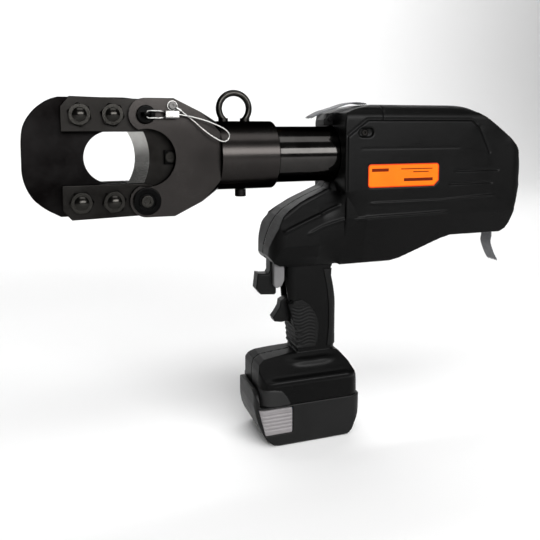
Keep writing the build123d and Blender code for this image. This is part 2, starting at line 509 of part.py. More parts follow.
for s in (1, -1):
    y0, y1 = sorted((s * 20.0, s * 39.5))
    q = ycyl(y0, y1, 1.5, 62.5, 355)
    y0, y1 = sorted((s * 39.5, s * 42.3))
    q += ycyl(y0, y1, 3.3, 62.5, 355)
    y0, y1 = sorted((s * 40.5, s * 43))
    q -= hexnut(y0, y1, 2.6, 62.5, 355)
    scr.append(one(q))
save(Compound(children=scr), "housing_screws")

# strap block on top of the front opening, strap bars and webbing
fb = side([(26, 363.0), (26, 369.5), (33.5, 377.2), (38, 378.0), (38, 363.0)], -11, 11)
fb += ycyl(-13, 13, 2.0, 32.6, 370.2)
save(one(soft_edges(fb, [e for e in fb.edges() if abs(abs(e.center().Y) - 11) < 0.01], 1.0)), "strap_block")
label = side([(65.9, 292.5), (65.9, 319.2), (158.8, 319.2), (158.8, 298.4), (151.5, 292.5)], -HOUSE_W - 1.5, -HOUSE_W - 0.7,
             {0: 3.5, 1: 3.5, 2: 3.5})
save(one(label), "label_plate")
# webbing, 22 wide, 1.8 thick
T = 1.8


def ribbon(pts, w, t=T, yc=0.0):
    """Flat strap following points in X,Z; thickness t to the left of travel."""
    n = len(pts)
    off = []
    for i in range(n):
        a = pts[max(0, i - 1)]
        b = pts[min(n - 1, i + 1)]
        dx, dz = b[0] - a[0], b[1] - a[1]
        l = sqrt(dx * dx + dz * dz)
        off.append((pts[i][0] - dz / l * t, pts[i][1] + dx / l * t))
    return side(pts + off[::-1], yc - w / 2, yc + w / 2)


S1 = [(11.0, 371.4), (18.0, 374.6), (26.0, 378.2), (34.0, 380.2), (44.0, 383.4), (56.0, 387.2), (68.0, 388.6), (82.0, 387.4)]
save(one(ribbon(S1, 22)), "strap_front")
S2 = [(262.0, 233.2), (264.2, 222.0), (263.0, 212.0), (266.3, 202.0), (270.8, 193.0), (275.8, 185.5)]
save(one(ribbon(S2, 20) - hs), "strap_rear")

# ================================================================ TRIGGERS, SWITCH
ut = side([(-38.6, 218), (-31, 218), (-31, 170), (-33, 168), (-49.7, 169.4), (-55.3, 176.5), (-53.3, 194.6), (-47.8, 193.4),
           (-40.6, 193.0), (-38.6, 197)], -8, 8)
ut = soft_edges(ut, [e for e in ut.edges() if abs(abs(e.center().Y) - 8) < 0.01 and e.center().Z < 210], 1.8)
ut -= ycyl(-20, 20, 2.05, -34.8, 214)
save(one(ut), "upper_trigger")
lt = side([(-10.5, 164), (-17.5, 163), (-24.8, 159.5), (-26.0, 152.5), (-30.7, 145), (-34.6, 140.2), (-32.5, 135.4), (-24, 133.8), (-11.5, 135.5)], -6.6, 6.6)
lt = soft_edges(lt, [e for e in lt.edges() if abs(abs(e.center().Y) - 6.6) < 0.01], 1.4)
lt -= ycyl(-20, 20, 1.55, -15.5, 160)
save(one(lt), "lower_trigger")
save(Compound(children=[ycyl(-24.5, 24.5, 2.0, -34.8, 214), ycyl(-16, 16, 1.5, -15.5, 160)]), "trigger_pivots")
sw = box(-12, 18, -10, 10, 168, 200)
save(one(sw), "trigger_switch")
shroud = box(-27.6, -25.6, -11, 11, 199.5, 207.5)
for s in (-1, 1):
    y0, y1 = sorted((s * 9.4, s * 15.2))
    q = side([(-36.4, 208), (-25.2, 208), (-23.4, 199), (-23.4, 186), (-27.0, 178.6), (-33.5, 177.0), (-36.4, 181)], y0, y1,
             {2: 4, 3: 4, 4: 3, 5: 3})
    q = soft_edges(q, [e for e in q.edges() if abs(abs(e.center().Y) - 15.2) < 0.01], 1.6)
    shroud += q
shroud = shroud - hs
save(one(shroud), "trigger_shroud")

# rubber on the grip: sleeve round the rear and sides
gs = side([(24, 196), (29, 172), (31.5, 150), (31.5, 128), (29, 104), (46, 104), (46, 196)], -GRIP_W - 1.5, GRIP_W + 1.5)
g2 = side([(-26, 104), (-26, 150), (-14, 160.5), (-3, 162), (6, 156), (13.2, 146), (17.2, 136), (18.2, 127), (17.2, 114), (14, 104)],
          -GRIP_W - 1.5, GRIP_W + 1.5)
g2 -= box(-30, -1.5, -7.9, 7.9, 131.5, 175) + ycyl(-30, 30, 2.4, -15.5, 160)
plo = Plane(origin=(0, GRIP_W + 1.3, 0), x_dir=(1, 0, 0), z_dir=(0, -1, 0))
gout = extrude(plo * inset(GRIP, -1.3), amount=2 * (GRIP_W + 1.3)) & rrect_plan(-23.2, 43.6, GRIP_W + 1.3, 14, 100, 200)
for nm, q in (("grip_rubber_rear", gs), ("grip_rubber_front", g2)):
    r = (gout & q) - go - hs
    save(one(r), nm)

# ================================================================ FOOT TERMINALS AND BATTERY
tb = box(-26, 40, -18, 18, 54.8, 62)
for y in (-12, 0, 12):
    tb += box(-20, -4, y - 0.6, y + 0.6, 48.6, 54.8)
save(one(tb), "terminal_block")
BATT = [(-37.5, 0), (-43.5, 1.8), (-51.5, 8), (-57.2, 17.5), (-61.2, 27), (-63.6, 36.6), (-65.2, 47.4), (64.5, 47.4), (65.3, 36), (61.8, 22.5),
        (57.0, 14), (53.0, 6), (47.5, 0)]
bp = Plane(origin=(0, 38, 0), x_dir=(1, 0, 0), z_dir=(0, -1, 0))


def batt(t, z0, z1):
    f = make_face(Polyline(*BATT, close=True)) if t == 0 else inset(BATT, t)
    pb_ = Plane(origin=(0, 38 - t, 0), x_dir=(1, 0, 0), z_dir=(0, -1, 0))
    b = extrude(pb_ * f, amount=2 * (38 - t))
    b = b & rrect_plan(-65.2 + t, 65.3 - t, 38 - t, 12 - t, -1, 60)
    w = 38 - t
    b = b & front([(-w + 2.4, -1 + t), (-w, 2.4), (-w, 50), (w, 50), (w, 2.4), (w - 2.4, -1 + t)], -70, 70)
    return b & box(-75, 75, -50, 50, z0, z1)


SPLIT = 21.0
low = batt(0, -1, SPLIT) - batt(2.4, 2.4, 60)
low -= box(-75, 75, -50, 50, SPLIT - 0.001, 60)
up = batt(0, SPLIT, 60) - (batt(2.4, -1, 44.6))
up += box(-61, 42, -20, 20, 46, 54)
up += box(-61, 54, -23.9, 23.9, 51.4, 54)
lip = rrect_plan(-65.2, 65.3, 38, 12, 47, 70) & box(-66, -59.8, -40, 40, 47, 70)
up += lip & front([(-39, 47), (-37, 51), (-31, 61), (-22, 65), (22, 65), (31, 61), (37, 51), (39, 47)], -70, -50)
for y in (-12, 0, 12):
    up -= box(-21, 75, y - 1.1, y + 1.1, 47.9, 55)
for s in (1, -1):
    y0, y1 = sorted((s * 30.4, s * 39))
    pocket = side([(-62.0, 45.2), (-21.5, 45.2), (-21.5, 14.5), (-54.6, 14.5)], y0, y1)
    low -= pocket & box(-75, 75, -50, 50, 0, SPLIT + 1)
    up -= pocket & box(-75, 75, -50, 50, SPLIT - 1, 60)
save(one(low), "battery_case_lower")
save(one(up), "battery_case_upper")
cells = []
for i in range(5):
    cells.append(ycyl(-32.5, 32.5, 9.0, -36.0 + i * 19.6, 12.0) & box(-70, 70, -28.9, 28.9, 2.6, 60))
    cells.append(ycyl(-32.5, 32.5, 9.0, -36.0 + i * 19.6, 31.0) & box(-70, 70, -28.9, 28.9, 2.6, 60))
save(Compound(children=[one(c) for c in cells]), "battery_cells")
for nm, s in (("battery_button_left", -1), ("battery_button_right", 1)):
    y0, y1 = sorted((s * 32.5, s * 38.6))
    b = side([(-61.3, 44.7), (-22, 44.7), (-22, 15), (-54.2, 15)], y0, y1, {1: 2.0, 2: 2.0})
    b = b & rrect_plan(-65.8, 65.3, 38.6, 12.6, -1, 60)
    b = soft_edges(b, [e for e in b.edges() if abs(abs(e.center().Y) - 38.6) < 0.01], 1.2)
    save(one(b), nm)
print("done")
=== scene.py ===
import math
import random

import bpy
import bmesh
import numpy as np
from mathutils import Vector, Matrix, Quaternion


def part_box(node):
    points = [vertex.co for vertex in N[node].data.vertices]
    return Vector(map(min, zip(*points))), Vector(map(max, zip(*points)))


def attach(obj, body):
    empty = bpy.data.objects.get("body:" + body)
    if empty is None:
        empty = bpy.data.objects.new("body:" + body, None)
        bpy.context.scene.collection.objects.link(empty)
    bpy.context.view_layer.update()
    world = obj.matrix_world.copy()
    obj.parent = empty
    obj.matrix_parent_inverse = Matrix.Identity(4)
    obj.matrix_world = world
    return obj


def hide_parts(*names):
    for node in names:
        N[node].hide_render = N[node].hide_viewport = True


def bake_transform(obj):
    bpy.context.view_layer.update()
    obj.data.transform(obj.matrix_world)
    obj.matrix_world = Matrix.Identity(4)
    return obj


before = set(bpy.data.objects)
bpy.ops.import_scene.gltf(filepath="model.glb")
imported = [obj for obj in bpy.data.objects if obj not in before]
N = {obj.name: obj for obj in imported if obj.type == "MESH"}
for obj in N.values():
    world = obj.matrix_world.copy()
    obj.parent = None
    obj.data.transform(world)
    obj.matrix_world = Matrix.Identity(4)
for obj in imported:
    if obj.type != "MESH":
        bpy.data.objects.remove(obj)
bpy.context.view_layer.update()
ZA = 0.330
random.seed(7)
RNG = np.random.default_rng(7)


# ------------------------------------------------------------------ materials
def srgb(r, g=None, b=None):
    if g is None:
        g = b = r
    out = []
    for c in (r, g, b):
        c = c / 255.0
        out.append(c / 12.92 if c <= 0.04045 else ((c + 0.055) / 1.055) ** 2.4)
    return (*out, 1.0)


class Mat:
    def __init__(self, name):
        self.m = bpy.data.materials.new(name)
        self.m.use_nodes = True
        self.nt = self.m.node_tree
        self.b = self.nt.nodes["Principled BSDF"]
        self.tc = self.nt.nodes.new("ShaderNodeTexCoord")

    def new(self, kind, **kw):
        n = self.nt.nodes.new(kind)
        for k, v in kw.items():
            setattr(n, k, v)
        return n

    def link(self, a, b):
        self.nt.links.new(a, b)

    def coord(self, scale=(1, 1, 1), rot=(0, 0, 0)):
        mp = self.new("ShaderNodeMapping")
        mp.inputs["Scale"].default_value = scale
        mp.inputs["Rotation"].default_value = rot
        self.link(self.tc.outputs["Object"], mp.inputs["Vector"])
        return mp.outputs["Vector"]

    def noise(self, scale, detail=3.0, rough=0.55, vec=None):
        n = self.new("ShaderNodeTexNoise")
        n.inputs["Scale"].default_value = scale
        n.inputs["Detail"].default_value = detail
        n.inputs["Roughness"].default_value = rough
        self.link(vec if vec is not None else self.coord(), n.inputs["Vector"])
        return n.outputs["Fac"]

    def ramp(self, fac, stops):
        r = self.new("ShaderNodeValToRGB")
        el = r.color_ramp.elements
        while len(el) < len(stops):
            el.new(0.5)
        for e, (p, c) in zip(el, stops):
            e.position = p
            e.color = c if len(c) == 4 else (*c, 1)
        self.link(fac, r.inputs["Fac"])
        return r.outputs["Color"]

    def mix(self, fac, a, b, mode="MIX"):
        mx = self.new("ShaderNodeMix", data_type="RGBA", blend_type=mode)
        for sock, val in ((0, fac), (6, a), (7, b)):
            if isinstance(val, (int, float)):
                mx.inputs[sock].default_value = val
            elif isinstance(val, tuple):
                mx.inputs[sock].default_value = val
            else:
                self.link(val, mx.inputs[sock])
        return mx.outputs[2]

    def math(self, op, a, b=0.0, clamp=False):
        n = self.new("ShaderNodeMath", operation=op, use_clamp=clamp)
        for i, v in enumerate((a, b)):
            if isinstance(v, (int, float)):
                n.inputs[i].default_value = v
            else:
                self.link(v, n.inputs[i])
        return n.outputs[0]

    def rng(self, fac, lo, hi, a=0.0, b=1.0):
        n = self.new("ShaderNodeMapRange")
        n.inputs["From Min"].default_value = a
        n.inputs["From Max"].default_value = b
        n.inputs["To Min"].default_value = lo
        n.inputs["To Max"].default_value = hi
        self.link(fac, n.inputs["Value"])
        return n.outputs["Result"]

    def bump(self, height, strength, dist, prev=None):
        n = self.new("ShaderNodeBump")
        n.inputs["Strength"].default_value = strength
        n.inputs["Distance"].default_value = dist
        self.link(height, n.inputs["Height"])
        if prev is not None:
            self.link(prev, n.inputs["Normal"])
        return n.outputs["Normal"]

    def set(self, **kw):
        for k, v in kw.items():
            s = self.b.inputs[k]
            if isinstance(v, (int, float, tuple)):
                s.default_value = v
            else:
                self.link(v, s)
        return self


def plastic(name, base, rough=0.5, grain=2600, grain_d=0.00006, spec=0.5, dust=0.05):
    m = Mat(name)
    big = m.noise(18, 4)
    fine = m.noise(grain, 2, 0.6)
    specks = m.noise(900, 2, 0.7)
    col = m.mix(m.rng(big, 0.0, 1.0, 0.35, 0.7), tuple(c * 0.88 for c in base[:3]) + (1,), tuple(c * 1.14 for c in base[:3]) + (1,))
    light = tuple(min(1, c * 2.1 + 0.012) for c in base[:3]) + (1,)
    col = m.mix(m.rng(specks, 0.0, dust, 0.62, 0.8), col, light)
    r = m.math("ADD", m.rng(big, rough - 0.05, rough + 0.05, 0.3, 0.7), m.rng(fine, -0.05, 0.05, 0.3, 0.7))
    smear = m.noise(60, 5, 0.65, m.coord((1.0, 1.0, 4.0)))
    r = m.math("ADD", r, m.rng(smear, -0.05, 0.05, 0.3, 0.7))
    m.set(**{"Base Color": col, "Roughness": r, "Specular IOR Level": spec,
             "Normal": m.bump(fine, 0.55, grain_d)})
    return m.m


def metal(name, base, rough=0.35, metallic=1.0, brush=(1, 1, 1), brush_amt=0.3, wear=0.25, tint=1.0, grain_d=0.00003, calm=1.0):
    m = Mat(name)
    big = m.noise(22, 5, 0.6)
    mid = m.noise(140, 4, 0.6)
    scr = m.noise(900, 3, 0.6, m.coord(brush))
    fine = m.noise(3200, 2)
    dark = tuple(c * (1 - 0.22 * calm) for c in base[:3]) + (1,)
    lite = tuple(min(1, c * (1 + 0.25 * calm) + 0.004 * calm) for c in base[:3]) + (1,)
    col = m.mix(m.rng(big, 0, 1, 0.35, 0.68), dark, lite)
    worn = tuple(min(1, c * 2.4 + 0.05) for c in base[:3]) + (1,)
    col = m.mix(m.math("MULTIPLY", m.rng(mid, 0, 1, 0.6, 0.74), m.rng(scr, 0, wear, 0.4, 0.7)), col, worn)
    r = m.math("ADD", m.rng(big, rough - 0.06 * calm, rough + 0.07 * calm, 0.3, 0.7), m.rng(scr, -0.07 * calm, 0.07 * calm, 0.3, 0.7))
    nrm = m.bump(scr, brush_amt, 0.00004)
    nrm = m.bump(fine, 0.4, grain_d, nrm)
    m.set(**{"Base Color": col, "Roughness": r, "Metallic": metallic, "Normal": nrm})
    m.set(**{"Specular Tint": (tint, tint, tint, 1)})
    return m.m


MT = {}
MT["oxide"] = metal("black_oxide", srgb(22, 21, 20), 0.34, 1.0, (1, 1, 1), 0.15, 0.08, tint=0.12, calm=0.7)
MT["bolt"] = metal("bolt_oxide", srgb(40, 39, 37), 0.22, 1.0, (1, 1, 1), 0.1, 0.1, tint=0.3, calm=0.5)
MT["oxide_nose"] = metal("black_oxide_plate", srgb(7, 6, 6), 0.42, 1.0, (1, 1, 9), 0.15, 0.06, tint=0.1)
MT["oxide_dark"] = metal("black_oxide_pins", srgb(9, 9, 9), 0.2, 1.0, (1, 1, 1), 0.1, 0.05, tint=0.3, calm=0.5)
MT["yoke"] = metal("yoke_finish", srgb(41, 39, 38), 0.25, 1.0, (1, 1, 1), 0.06, 0.0, tint=0.1, grain_d=0.00003, calm=0.3)
MT["tube"] = metal("tube_gloss", srgb(44, 43, 42), 0.12, 1.0, (1, 6, 6), 0.04, 0.02, tint=0.1, grain_d=0.00001)
MT["ground"] = metal("ground_steel", srgb(178, 177, 174), 0.24, 1.0, (1, 14, 1), 0.25, 0.1, tint=0.6)
MT["blade"] = metal("blade_face", srgb(14, 13, 12), 0.4, 1.0, (1, 1, 9), 0.3, 0.1, tint=0.1)
MT["bright"] = metal("bright_wire", srgb(150, 149, 147), 0.26, 1.0, (1, 1, 1), 0.2, 0.1, tint=0.6)
MT["zinc"] = metal("zinc_plate", srgb(72, 71, 70), 0.3, 1.0, (1, 1, 1), 0.2, 0.2, tint=0.5)
MT["alloy"] = metal("alloy_inside", srgb(180, 180, 182), 0.4, 1.0, (8, 1, 1), 0.2, 0.1)
MT["copper"] = metal("copper_inside", srgb(190, 120, 70), 0.4, 1.0, (1, 8, 8), 0.2, 0.1)
MT["brass"] = metal("brass_contact", srgb(210, 175, 100), 0.3, 1.0, (1, 1, 1), 0.1, 0.1)
MT["housing"] = plastic("housing_plastic", srgb(4, 4, 4), 0.36, 2300, 0.00005, 0.072)
MT["latch_cover"] = plastic("latch_cover_plastic", srgb(22, 22, 22), 0.46, 2300, 0.00005, 0.2)
MT["battery"] = plastic("battery_plastic", srgb(15, 15, 15), 0.42, 2300, 0.00005, 0.14)
MT["trigger"] = plastic("trigger_plastic", srgb(5, 5, 5), 0.4, 3000, 0.00004, 0.1)
MT["grey"] = plastic("grey_plastic", srgb(84, 83, 84), 0.5, 2600, 0.00004, 0.4, 0.03)
MT["button"] = plastic("button_plastic", srgb(110, 107, 108), 0.48, 2600, 0.00004, 0.4, 0.03)
MT["switch"] = plastic("switch_plastic", srgb(60, 60, 62), 0.5)
MT["rubber"] = plastic("grip_rubber", srgb(9, 9, 9), 0.54, 1700, 0.0001, 0.1)
MT["bladder"] = plastic("bladder_rubber", srgb(40, 40, 42), 0.55)
MT["pcb"] = plastic("board_green", srgb(30, 110, 60), 0.35)
MT["cell"] = plastic("cell_sleeve", srgb(70, 110, 160), 0.3)


def label_material():
    m = Mat("label_orange")
    big = m.noise(30, 3)
    fine = m.noise(1800, 2)
    base = m.mix(m.rng(big, 0, 1, 0.3, 0.7), srgb(206, 92, 0), srgb(214, 100, 0))
    m.set(**{"Base Color": base, "Roughness": m.rng(fine, 0.42, 0.52, 0.3, 0.7), "Specular IOR Level": 0.1, "Normal": m.bump(fine, 0.2, 0.00003)})
    return m.m


def label_edge_material():
    m = Mat("label_border")
    fine = m.noise(1800, 2)
    base = m.mix(m.rng(fine, 0, 1, 0.3, 0.7), srgb(176, 44, 0), srgb(184, 50, 0))
    m.set(**{"Base Color": base, "Roughness": 0.5, "Specular IOR Level": 0.1, "Normal": m.bump(fine, 0.2, 0.00003)})
    return m.m


def webbing_material():
    m = Mat("webbing_grey")
    w = m.noise(1400, 2, 0.6)
    big = m.noise(70, 3)
    base = m.mix(m.rng(big, 0, 1, 0.3, 0.7), srgb(78, 79, 82), srgb(104, 105, 108))
    base = m.mix(m.rng(w, 0, 0.6, 0.35, 0.65), base, srgb(58, 59, 62))
    m.set(**{"Base Color": base, "Roughness": 0.85, "Sheen Weight": 0.25, "Normal": m.bump(w, 0.7, 0.0002)})
    return m.m


MT["label"] = label_material()
MT["label_edge"] = label_edge_material()
MT["label_bar"] = plastic("label_bars", srgb(84, 20, 0), 0.5, 2600, 0.00001, 0.05, 0.0)
MT["web"] = webbing_material()


# ------------------------------------------------------------------ helpers
def give(o, mat):
    o.data.materials.clear()
    o.data.materials.append(mat)


def smooth(o, on=True):
    for p in o.data.polygons:
        p.use_smooth = on


def drop_custom_normals(o):
    me = o.data
    if me.attributes.get("custom_normal"):
        me.attributes.remove(me.attributes["custom_normal"])


def dress(name, mat, bevel=0.0006, seg=2, angle=32):
    """CAD node kept as it is, with rounded edges and its material."""
    o = N[name]
    give(o, MT[mat])
    drop_custom_normals(o)
    smooth(o)
    w = o.modifiers.new("weld", "WELD")
    w.merge_threshold = 0.000002
    d = o.modifiers.new("flat", "DECIMATE")
    d.decimate_type = "DISSOLVE"
    d.angle_limit = math.radians(0.6)
    if bevel:
        b = o.modifiers.new("round", "BEVEL")
        b.width = bevel
        b.segments = seg
        b.limit_method = "ANGLE"
        b.angle_limit = math.radians(angle)
        b.use_clamp_overlap = True
        b.harden_normals = False
    n = o.modifiers.new("normals", "WEIGHTED_NORMAL")
    n.keep_sharp = True
    return o


def new_obj(name, me, body, mat=None, replaces=None):
    o = bpy.data.objects.new(name, me)
    bpy.context.scene.collection.objects.link(o)
    if mat is not None:
        give(o, mat if not isinstance(mat, str) else MT[mat])
    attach(o, body)
    if replaces:
        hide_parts(*([replaces] if isinstance(replaces, str) else replaces))
    return o


def mesh_of(verts, faces, name="m"):
    me = bpy.data.meshes.new(name)
    me.from_pydata([tuple(v) for v in verts], [], faces)
    me.validate()
    me.update()
    for p in me.polygons:
        p.use_smooth = True
    return me


def baked(o):
    """Mesh of an object with its modifiers applied."""
    dg = bpy.context.evaluated_depsgraph_get()
    return bpy.data.meshes.new_from_object(o.evaluated_get(dg), depsgraph=dg)


def relax(me, jobs, voxel):
    """Even out parts of a skin. Each job: weight(co, no) per vertex, passes at a 1 mm voxel, axes that may move."""
    n = len(me.vertices)
    co = np.empty(n * 3, np.float64)
    me.vertices.foreach_get("co", co)
    co = co.reshape(-1, 3)
    no = np.empty(n * 3, np.float64)
    me.vertices.foreach_get("normal", no)
    no = no.reshape(-1, 3)
    ed = np.empty(len(me.edges) * 2, np.int64)
    me.edges.foreach_get("vertices", ed)
    ed = ed.reshape(-1, 2)
    for weight, passes, axes in jobs:
        w = weight(co, no)
        keep = (w[ed[:, 0]] > 0) | (w[ed[:, 1]] > 0)
        e = ed[keep]
        ids, inv = np.unique(e, return_inverse=True)
        e = inv.reshape(-1, 2)
        m = len(ids)
        c, ww = co[ids], w[ids]
        deg = np.bincount(e[:, 0], minlength=m) + np.bincount(e[:, 1], minlength=m)
        for _ in range(int(passes * (0.001 / voxel) ** 2)):
            for k in axes:
                av = (np.bincount(e[:, 0], weights=c[e[:, 1], k], minlength=m) + np.bincount(e[:, 1], weights=c[e[:, 0], k], minlength=m)) / deg
                c[:, k] += ww * 0.9 * (av - c[:, k])
        co[ids] = c
    me.vertices.foreach_set("co", co.ravel())
    me.update()


def remeshed(name, voxel, iters=3, factor=0.5, shape=None, extra=None, jobs=None):
    """Voxel skin of a CAD node: edges come out rounded as on a moulding. extra = names of nodes joined in first."""
    me = N[name].data.copy()
    tmp = bpy.data.objects.new(name + "_tmp", me)
    bpy.context.scene.collection.objects.link(tmp)
    if extra:
        bm = bmesh.new()
        bm.from_mesh(me)
        for e in extra:
            bm.from_mesh(N[e].data)
        bm.to_mesh(me)
        bm.free()
    r = tmp.modifiers.new("r", "REMESH")
    r.mode = "VOXEL"
    r.voxel_size = voxel
    r.adaptivity = 0.0
    if iters:
        s = tmp.modifiers.new("s", "SMOOTH")
        s.factor = factor
        s.iterations = iters
    out = baked(tmp)
    bpy.data.objects.remove(tmp)
    if jobs:
        relax(out, jobs, voxel)
    if shape is not None:
        co = np.empty(len(out.vertices) * 3, np.float64)
        out.vertices.foreach_get("co", co)
        co = co.reshape(-1, 3)
        no = np.empty(len(out.vertices) * 3, np.float64)
        out.vertices.foreach_get("normal", no)
        no = no.reshape(-1, 3)
        co = shape(co, no)
        out.vertices.foreach_set("co", co.ravel())
        out.update()
    boxes = [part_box(q) for q in [name] + list(extra or [])]
    lo = np.min([np.array(b[0]) for b in boxes], axis=0)
    hi = np.max([np.array(b[1]) for b in boxes], axis=0)
    co = np.empty(len(out.vertices) * 3, np.float64)
    out.vertices.foreach_get("co", co)
    co = co.reshape(-1, 3)
    co = np.clip(co, lo, hi)
    out.vertices.foreach_set("co", co.ravel())
    out.update()
    for p in out.polygons:
        p.use_smooth = True
    return out


def bar_mesh(p0, p1, w, h, up, inset=0.0):
    """Low ridge from p0 to p1, w wide, h high along up, with a rounded top; a closed mesh."""
    p0, p1, up = Vector(p0), Vector(p1), Vector(up).normalized()
    d = (p1 - p0).normalized()
    s = d.cross(up).normalized()
    prof = [(-0.5, -0.9), (-0.5, 0.35), (-0.32, 0.8), (0, 1.0), (0.32, 0.8), (0.5, 0.35), (0.5, -0.9)]
    vs, fs = [], []
    n = len(prof)
    for p in (p0, p1):
        for a, b in prof:
            vs.append(p + s * (a * w) + up * (b * h))
    for i in range(n):
        j = (i + 1) % n
        fs.append((i, j, n + j, n + i))
    fs.append(tuple(range(n - 1, -1, -1)))
    fs.append(tuple(range(n, 2 * n)))
    me = bpy.data.meshes.new("ridge")
    me.from_pydata([tuple(v) for v in vs], [], fs)
    bm = bmesh.new()
    bm.from_mesh(me)
    bmesh.ops.recalc_face_normals(bm, faces=bm.faces)
    bm.to_mesh(me)
    bm.free()
    return me


def poly_ridges(pts, w, h, up):
    return [bar_mesh(a, b, w, h, up) for a, b in zip(pts, pts[1:])]


# ------------------------------------------------------------------ head: steel pieces
for n, m, bv in (("front_bar_top", "oxide", 0.0007), ("front_bar_bottom", "oxide", 0.0007),
                 ("rear_bar_top", "oxide", 0.0007), ("rear_bar_bottom", "oxide", 0.0007), ("head_bolts", "bolt", 0.0004),
                 ("head_nuts", "bolt", 0.0006), ("yoke_barrel", "yoke", 0.0008), ("lifting_eye", "bolt", 0.0005),
                 ("hinge_pin", "oxide_dark", 0.0006), ("latch_pin", "oxide_dark", 0.0006), ("stop_screw", "oxide", 0.0004),
                 ("swivel_ring", "zinc", 0.0), ("lanyard_terminal", "bright", 0.0003), ("lanyard_screw", "zinc", 0.0003),
                 ("lanyard_eye", "bright", 0.0), ("lanyard_ferrule", "bright", 0.0004),
                 ("moving_blade", "blade", 0.0003), ("blade_clamp", "oxide_dark", 0.0005), ("blade_screw", "bolt", 0.0004),
                 ("ram_rod", "ground", 0.0004), ("piston", "ground", 0.0004), ("piston_seal", "rubber", 0.0),
                 ("cylinder_tube", "tube", 0.0004), ("cylinder_gland", "ground", 0.0004),
                 ("pump_block", "alloy", 0.0004), ("pump_plungers", "ground", 0.0003), ("shaft_bearing", "ground", 0.0003),
                 ("gear_plate", "alloy", 0.0004), ("motor_can", "zinc", 0.0004), ("motor_stator", "copper", 0.0),
                 ("motor_rotor", "copper", 0.0), ("motor_pinion", "ground", 0.0), ("eccentric_shaft", "ground", 0.0),
                 ("drive_gear", "ground", 0.0), ("oil_reservoir", "bladder", 0.0), ("release_valve", "ground", 0.0003),
                 ("control_board", "pcb", 0.0002), ("housing_screws", "oxide", 0.0002), ("strap_block", "housing", 0.0006),
                 ("trigger_pivots", "oxide_dark", 0.0002), ("trigger_switch", "switch", 0.0006), ("trigger_shroud", "grey", 0.0005),
                 ("terminal_block", "brass", 0.0003), ("battery_cells", "cell", 0.0005),
                 ("upper_trigger", "trigger", 0.0008), ("lower_trigger", "trigger", 0.0006)):
    dress(n, m, bv)

# nose plate: smooth outline, softened rims, opening ground back behind the edge
def smooth_line(pts, n):
    P = np.array(pts, float)
    t = np.concatenate([[0], np.cumsum(np.linalg.norm(np.diff(P, axis=0), axis=1))])
    out = []
    for s_ in np.linspace(0, t[-1], n):
        i = min(len(P) - 2, max(0, int(np.searchsorted(t, s_)) - 1))
        p0, p1, p2, p3 = P[max(0, i - 1)], P[i], P[i + 1], P[min(len(P) - 1, i + 2)]
        u_ = (s_ - t[i]) / (t[i + 1] - t[i])
        out.append(0.5 * ((2 * p1) + (-p0 + p2) * u_ + (2 * p0 - 5 * p1 + 4 * p2 - p3) * u_ ** 2 + (-p0 + 3 * p1 - 3 * p2 + p3) * u_ ** 3))
    return np.array(out)


OUT_R = [(-0.2640, 0.0624), (-0.2705, 0.0606), (-0.2762, 0.0579), (-0.2822, 0.0539), (-0.2888, 0.0478), (-0.2952, 0.0388),
         (-0.2990, 0.0288), (-0.3004, 0.0150), (-0.30045, 0.0), (-0.3003, -0.0150), (-0.2972, -0.0285), (-0.2912, -0.0402),
         (-0.2840, -0.0479), (-0.2760, -0.0538), (-0.2690, -0.0578), (-0.2640, -0.0606)]


def plate_loop(y, inset, r_open):
    outer = [(-0.1992, 0.0624)] + [tuple(p) for p in smooth_line(OUT_R, 110)] + [(-0.1992, -0.0606)]
    P = np.array(outer)
    d = np.gradient(P, axis=0)
    d /= np.linalg.norm(d, axis=1)[:, None]
    nrm = np.stack([-d[:, 1], d[:, 0]], 1)
    P = P + nrm * inset
    P[0] = (-0.1992, 0.0624 - inset)
    P[-1] = (-0.1992, -0.0606 + inset)
    a = np.linspace(-math.pi / 2, -3 * math.pi / 2, 72)
    arc = np.stack([-0.213 + r_open * np.cos(a), r_open * np.sin(a)], 1)
    Q = np.vstack([P, [(-0.1992, -r_open + 0.0002)], arc, [(-0.1992, r_open - 0.0002)]])
    return [(max(float(q[0]), -0.30045 + inset), y, ZA + q[1]) for q in Q]


loops = [plate_loop(-0.0040, 0.0011, 0.0281), plate_loop(-0.0037, 0.0004, 0.0276), plate_loop(-0.0029, 0.0, 0.0275), plate_loop(0.0010, 0.0, 0.0275),
         plate_loop(0.0079, 0.0, 0.0322), plate_loop(0.0087, 0.0004, 0.0328), plate_loop(0.0090, 0.0011, 0.0332)]
nl = len(loops[0])
pv = [v for L in loops for v in L]
pf = []
for k in range(len(loops) - 1):
    for i in range(nl):
        j = (i + 1) % nl
        pf.append((k * nl + i, k * nl + j, (k + 1) * nl + j, (k + 1) * nl + i))
pf.append(tuple(range(nl)))
pf.append(tuple(range((len(loops) - 1) * nl, len(loops) * nl)))
pme = mesh_of(pv, pf, "nose_plate")
bm = bmesh.new()
bm.from_mesh(pme)
bmesh.ops.recalc_face_normals(bm, faces=bm.faces)
bm.to_mesh(pme)
bm.free()
nose = new_obj("nose_plate", pme, "head", "oxide_nose", "fixed_blade")
wn = nose.modifiers.new("normals", "WEIGHTED_NORMAL")
wn.keep_sharp = True

# painted highlight: a lighter centre on the hinge pin's near face, in the bolt material; the latch pin gets that
# material slot but no faces
for name in ("hinge_pin", "latch_pin"):
    ob = N[name]
    lo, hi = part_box(name)
    ob.data.materials.append(MT["bolt"])
    cz = (lo.z + hi.z) / 2 if name == "hinge_pin" else None
    for p in ob.data.polygons:
        c = ob.matrix_world @ p.center
        if name == "hinge_pin" and math.hypot(c.x - (lo.x + hi.x) / 2, c.z - cz) < 0.0052 and c.y < 0:
            p.material_index = 1

# bright ground bevel on the moving blade: faces that lean away from the flat
mb = N["moving_blade"]
mb.data.materials.append(MT["ground"])
for p in mb.data.polygons:
    c = p.center
    if p.normal.y < -0.2 and abs(p.normal.y) < 0.93 and c.x < -0.150:
        p.material_index = 1

